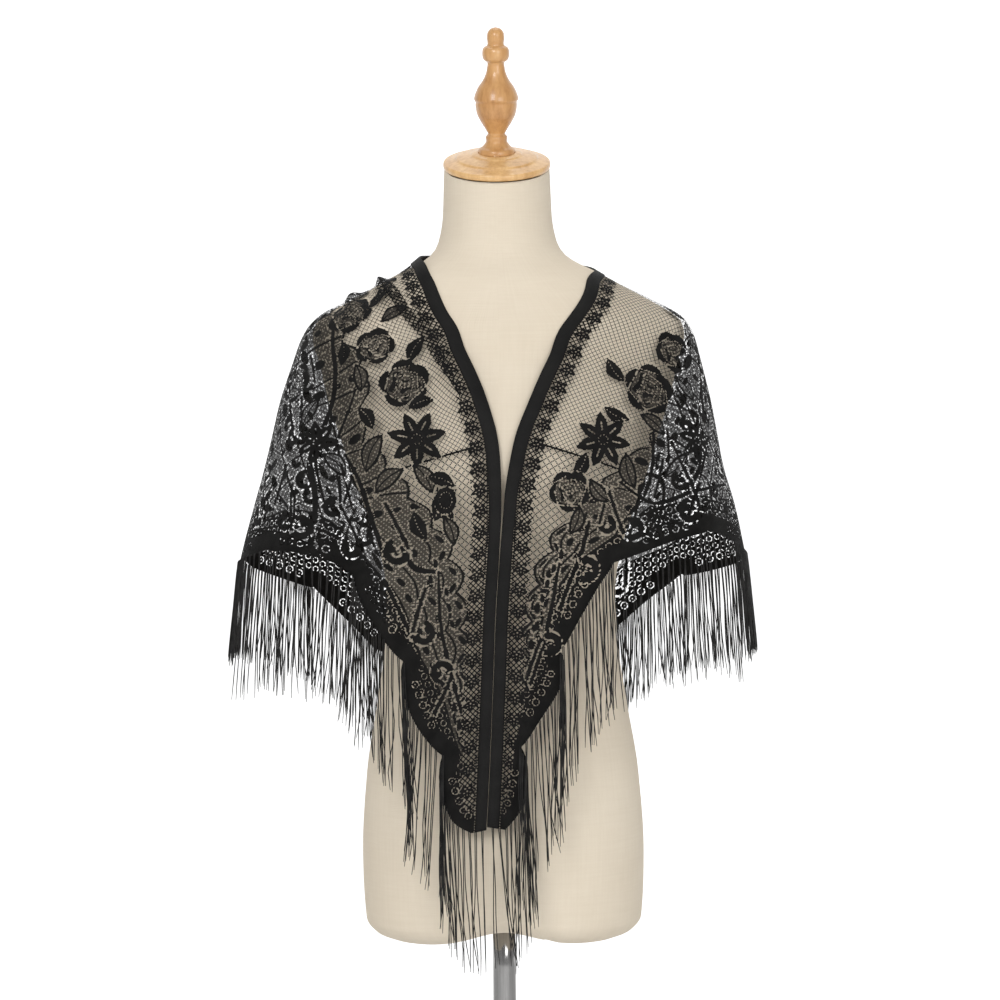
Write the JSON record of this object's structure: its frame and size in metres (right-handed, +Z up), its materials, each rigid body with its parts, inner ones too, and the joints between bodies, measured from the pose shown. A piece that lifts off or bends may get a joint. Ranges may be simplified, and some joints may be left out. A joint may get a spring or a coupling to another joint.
{
  "type": "fringed lace triangle shawl on a limbless dress form with a stand",
  "caption": "Black lace triangle shawl with scalloped edge and long fringe, worn point down the back by a limbless linen dress form with a turned wooden finial on a chrome pole and round base.",
  "frame": {"origin": "centre of the round base's underside, on the floor below the pole", "axes": "+Z up along the pole, -Y towards the front of the bust, +X towards the picture's right"},
  "size_m": [0.5367, 0.32, 1.4064],
  "materials": {
    "lace": "matt black knitted lace with open net, flowers and tulle",
    "edge_band": "plain close black band",
    "fringe": "thin twisted black yarns",
    "linen": "natural cream linen, fine weave",
    "wood": "turned honey wood, satin varnish",
    "chrome": "polished chrome"
  },
  "bodies": {
    "root": {"lace_back": "lace", "lace_arm_left": "lace", "lace_arm_right": "lace", "lace_front_left": "lace", "lace_front_right": "lace", "edge_band": "edge_band", "fringe_back": "fringe", "fringe_arm_left": "fringe", "fringe_arm_right": "fringe", "fringe_front_left": "fringe", "fringe_front_right": "fringe", "form_torso": "linen", "neck_cap": "wood", "finial": "wood", "pole": "chrome", "base": "chrome"}
  },
  "joints": []
}
